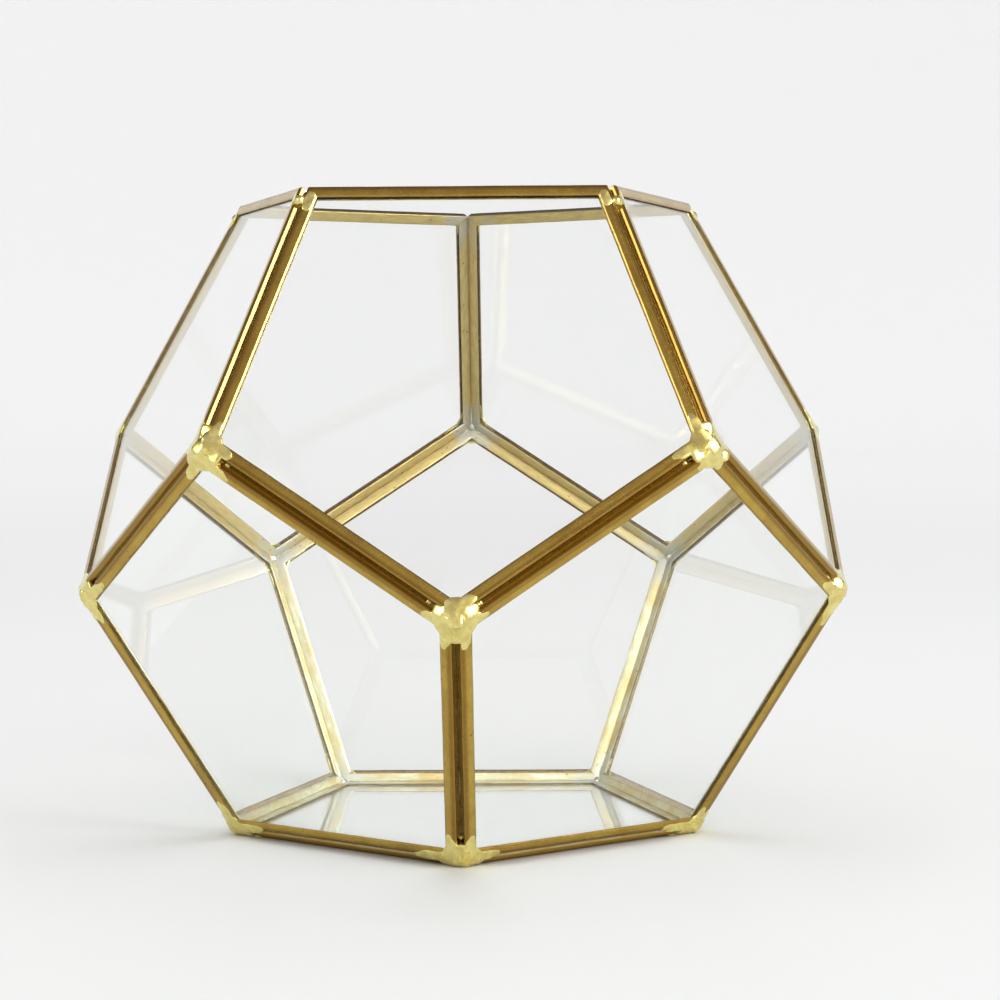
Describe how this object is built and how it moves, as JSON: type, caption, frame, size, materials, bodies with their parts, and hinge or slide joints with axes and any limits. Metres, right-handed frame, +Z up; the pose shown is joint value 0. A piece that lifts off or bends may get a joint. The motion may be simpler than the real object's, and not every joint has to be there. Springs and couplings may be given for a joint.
{
  "type": "geometric terrarium",
  "caption": "Open dodecahedral terrarium of flat glass pentagons edged in folded brass channel and soldered at the corners, with a five-sided mouth on top.",
  "frame": {"origin": "on the table, under the middle of the base pane", "axes": "+Z up, out of the mouth; -Y towards the front corner of the base and of the lower belt; +X to the right, seen from the front"},
  "size_m": [0.1724, 0.1814, 0.1434],
  "materials": {
    "brass": "satin, slightly tarnished",
    "solder": "glossy, pale brass-coloured solder",
    "glass": "clear, polished"
  },
  "bodies": {
    "root": {"frame_base": "brass", "frame_lower_1": "brass", "frame_lower_2": "brass", "frame_lower_3": "brass", "frame_lower_4": "brass", "frame_lower_5": "brass", "frame_upper_1": "brass", "frame_upper_2": "brass", "frame_upper_3": "brass", "frame_upper_4": "brass", "frame_upper_5": "brass", "glass_base": "glass", "glass_lower_1": "glass", "glass_lower_2": "glass", "glass_lower_3": "glass", "glass_lower_4": "glass", "glass_lower_5": "glass", "glass_upper_1": "glass", "glass_upper_2": "glass", "glass_upper_3": "glass", "glass_upper_4": "glass", "glass_upper_5": "glass", "solder_base_1": "solder", "solder_base_2": "solder", "solder_base_3": "solder", "solder_base_4": "solder", "solder_base_5": "solder", "solder_lower_1": "solder", "solder_lower_2": "solder", "solder_lower_3": "solder", "solder_lower_4": "solder", "solder_lower_5": "solder", "solder_upper_1": "solder", "solder_upper_2": "solder", "solder_upper_3": "solder", "solder_upper_4": "solder", "solder_upper_5": "solder", "solder_rim_1": "solder", "solder_rim_2": "solder", "solder_rim_3": "solder", "solder_rim_4": "solder", "solder_rim_5": "solder"}
  },
  "joints": []
}
